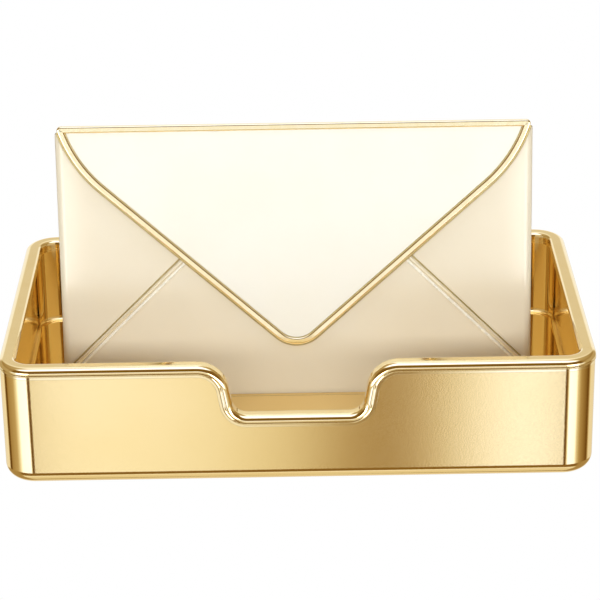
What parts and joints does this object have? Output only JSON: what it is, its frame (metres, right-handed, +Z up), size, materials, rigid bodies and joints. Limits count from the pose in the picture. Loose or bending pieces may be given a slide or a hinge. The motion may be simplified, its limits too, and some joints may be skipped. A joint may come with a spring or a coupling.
{
  "type": "envelope tray",
  "caption": "Scooped golden desk tray with a polished rim, holding an upright lift-out envelope with a hinged pointed flap.",
  "frame": {"origin": "middle of the footprint on the plane the feet stand on", "axes": "+X to the right seen from the scooped front, +Y to the back, +Z up; the front faces -Y"},
  "size_m": [0.29, 0.172, 0.1563],
  "materials": {
    "satin_gold": "satin gold anodised casting, fine grain",
    "polished_gold": "polished",
    "cream_lacquer": "pearlescent gloss",
    "pale_gold": "polished",
    "cover_paint": "satin paint",
    "screw_steel": "turned",
    "magnet_nickel": "nickel plated",
    "foot_rubber": "matte"
  },
  "bodies": {
    "tray": {"tray_shell": "satin_gold", "rim_moulding": "polished_gold", "base_plate": "cover_paint", "base_screws": "screw_steel", "envelope_cradle": "satin_gold", "cradle_screws": "screw_steel", "foot_front_left": "foot_rubber", "foot_front_right": "foot_rubber", "foot_back_left": "foot_rubber", "foot_back_right": "foot_rubber"},
    "envelope": {"envelope_back": "cream_lacquer", "bottom_flap": "cream_lacquer", "left_side_flap": "cream_lacquer", "right_side_flap": "cream_lacquer", "left_seam_bead": "pale_gold", "right_seam_bead": "pale_gold", "hinge_pin": "screw_steel", "catch_plate": "screw_steel"},
    "flap": {"top_flap": "cream_lacquer", "flap_piping": "pale_gold", "flap_magnet": "magnet_nickel"}
  },
  "joints": [
    {"name": "envelope_lift", "type": "slide", "parent": "tray", "child": "envelope", "axis": [0, 0.1392, 0.9903], "range_m": [0, 0.075]},
    {"name": "flap_hinge", "type": "hinge", "parent": "envelope", "child": "flap", "pos_m": [0, 0.01177, 0.1494], "axis": [-1, 0, 0], "range_deg": [0, 180]}
  ]
}
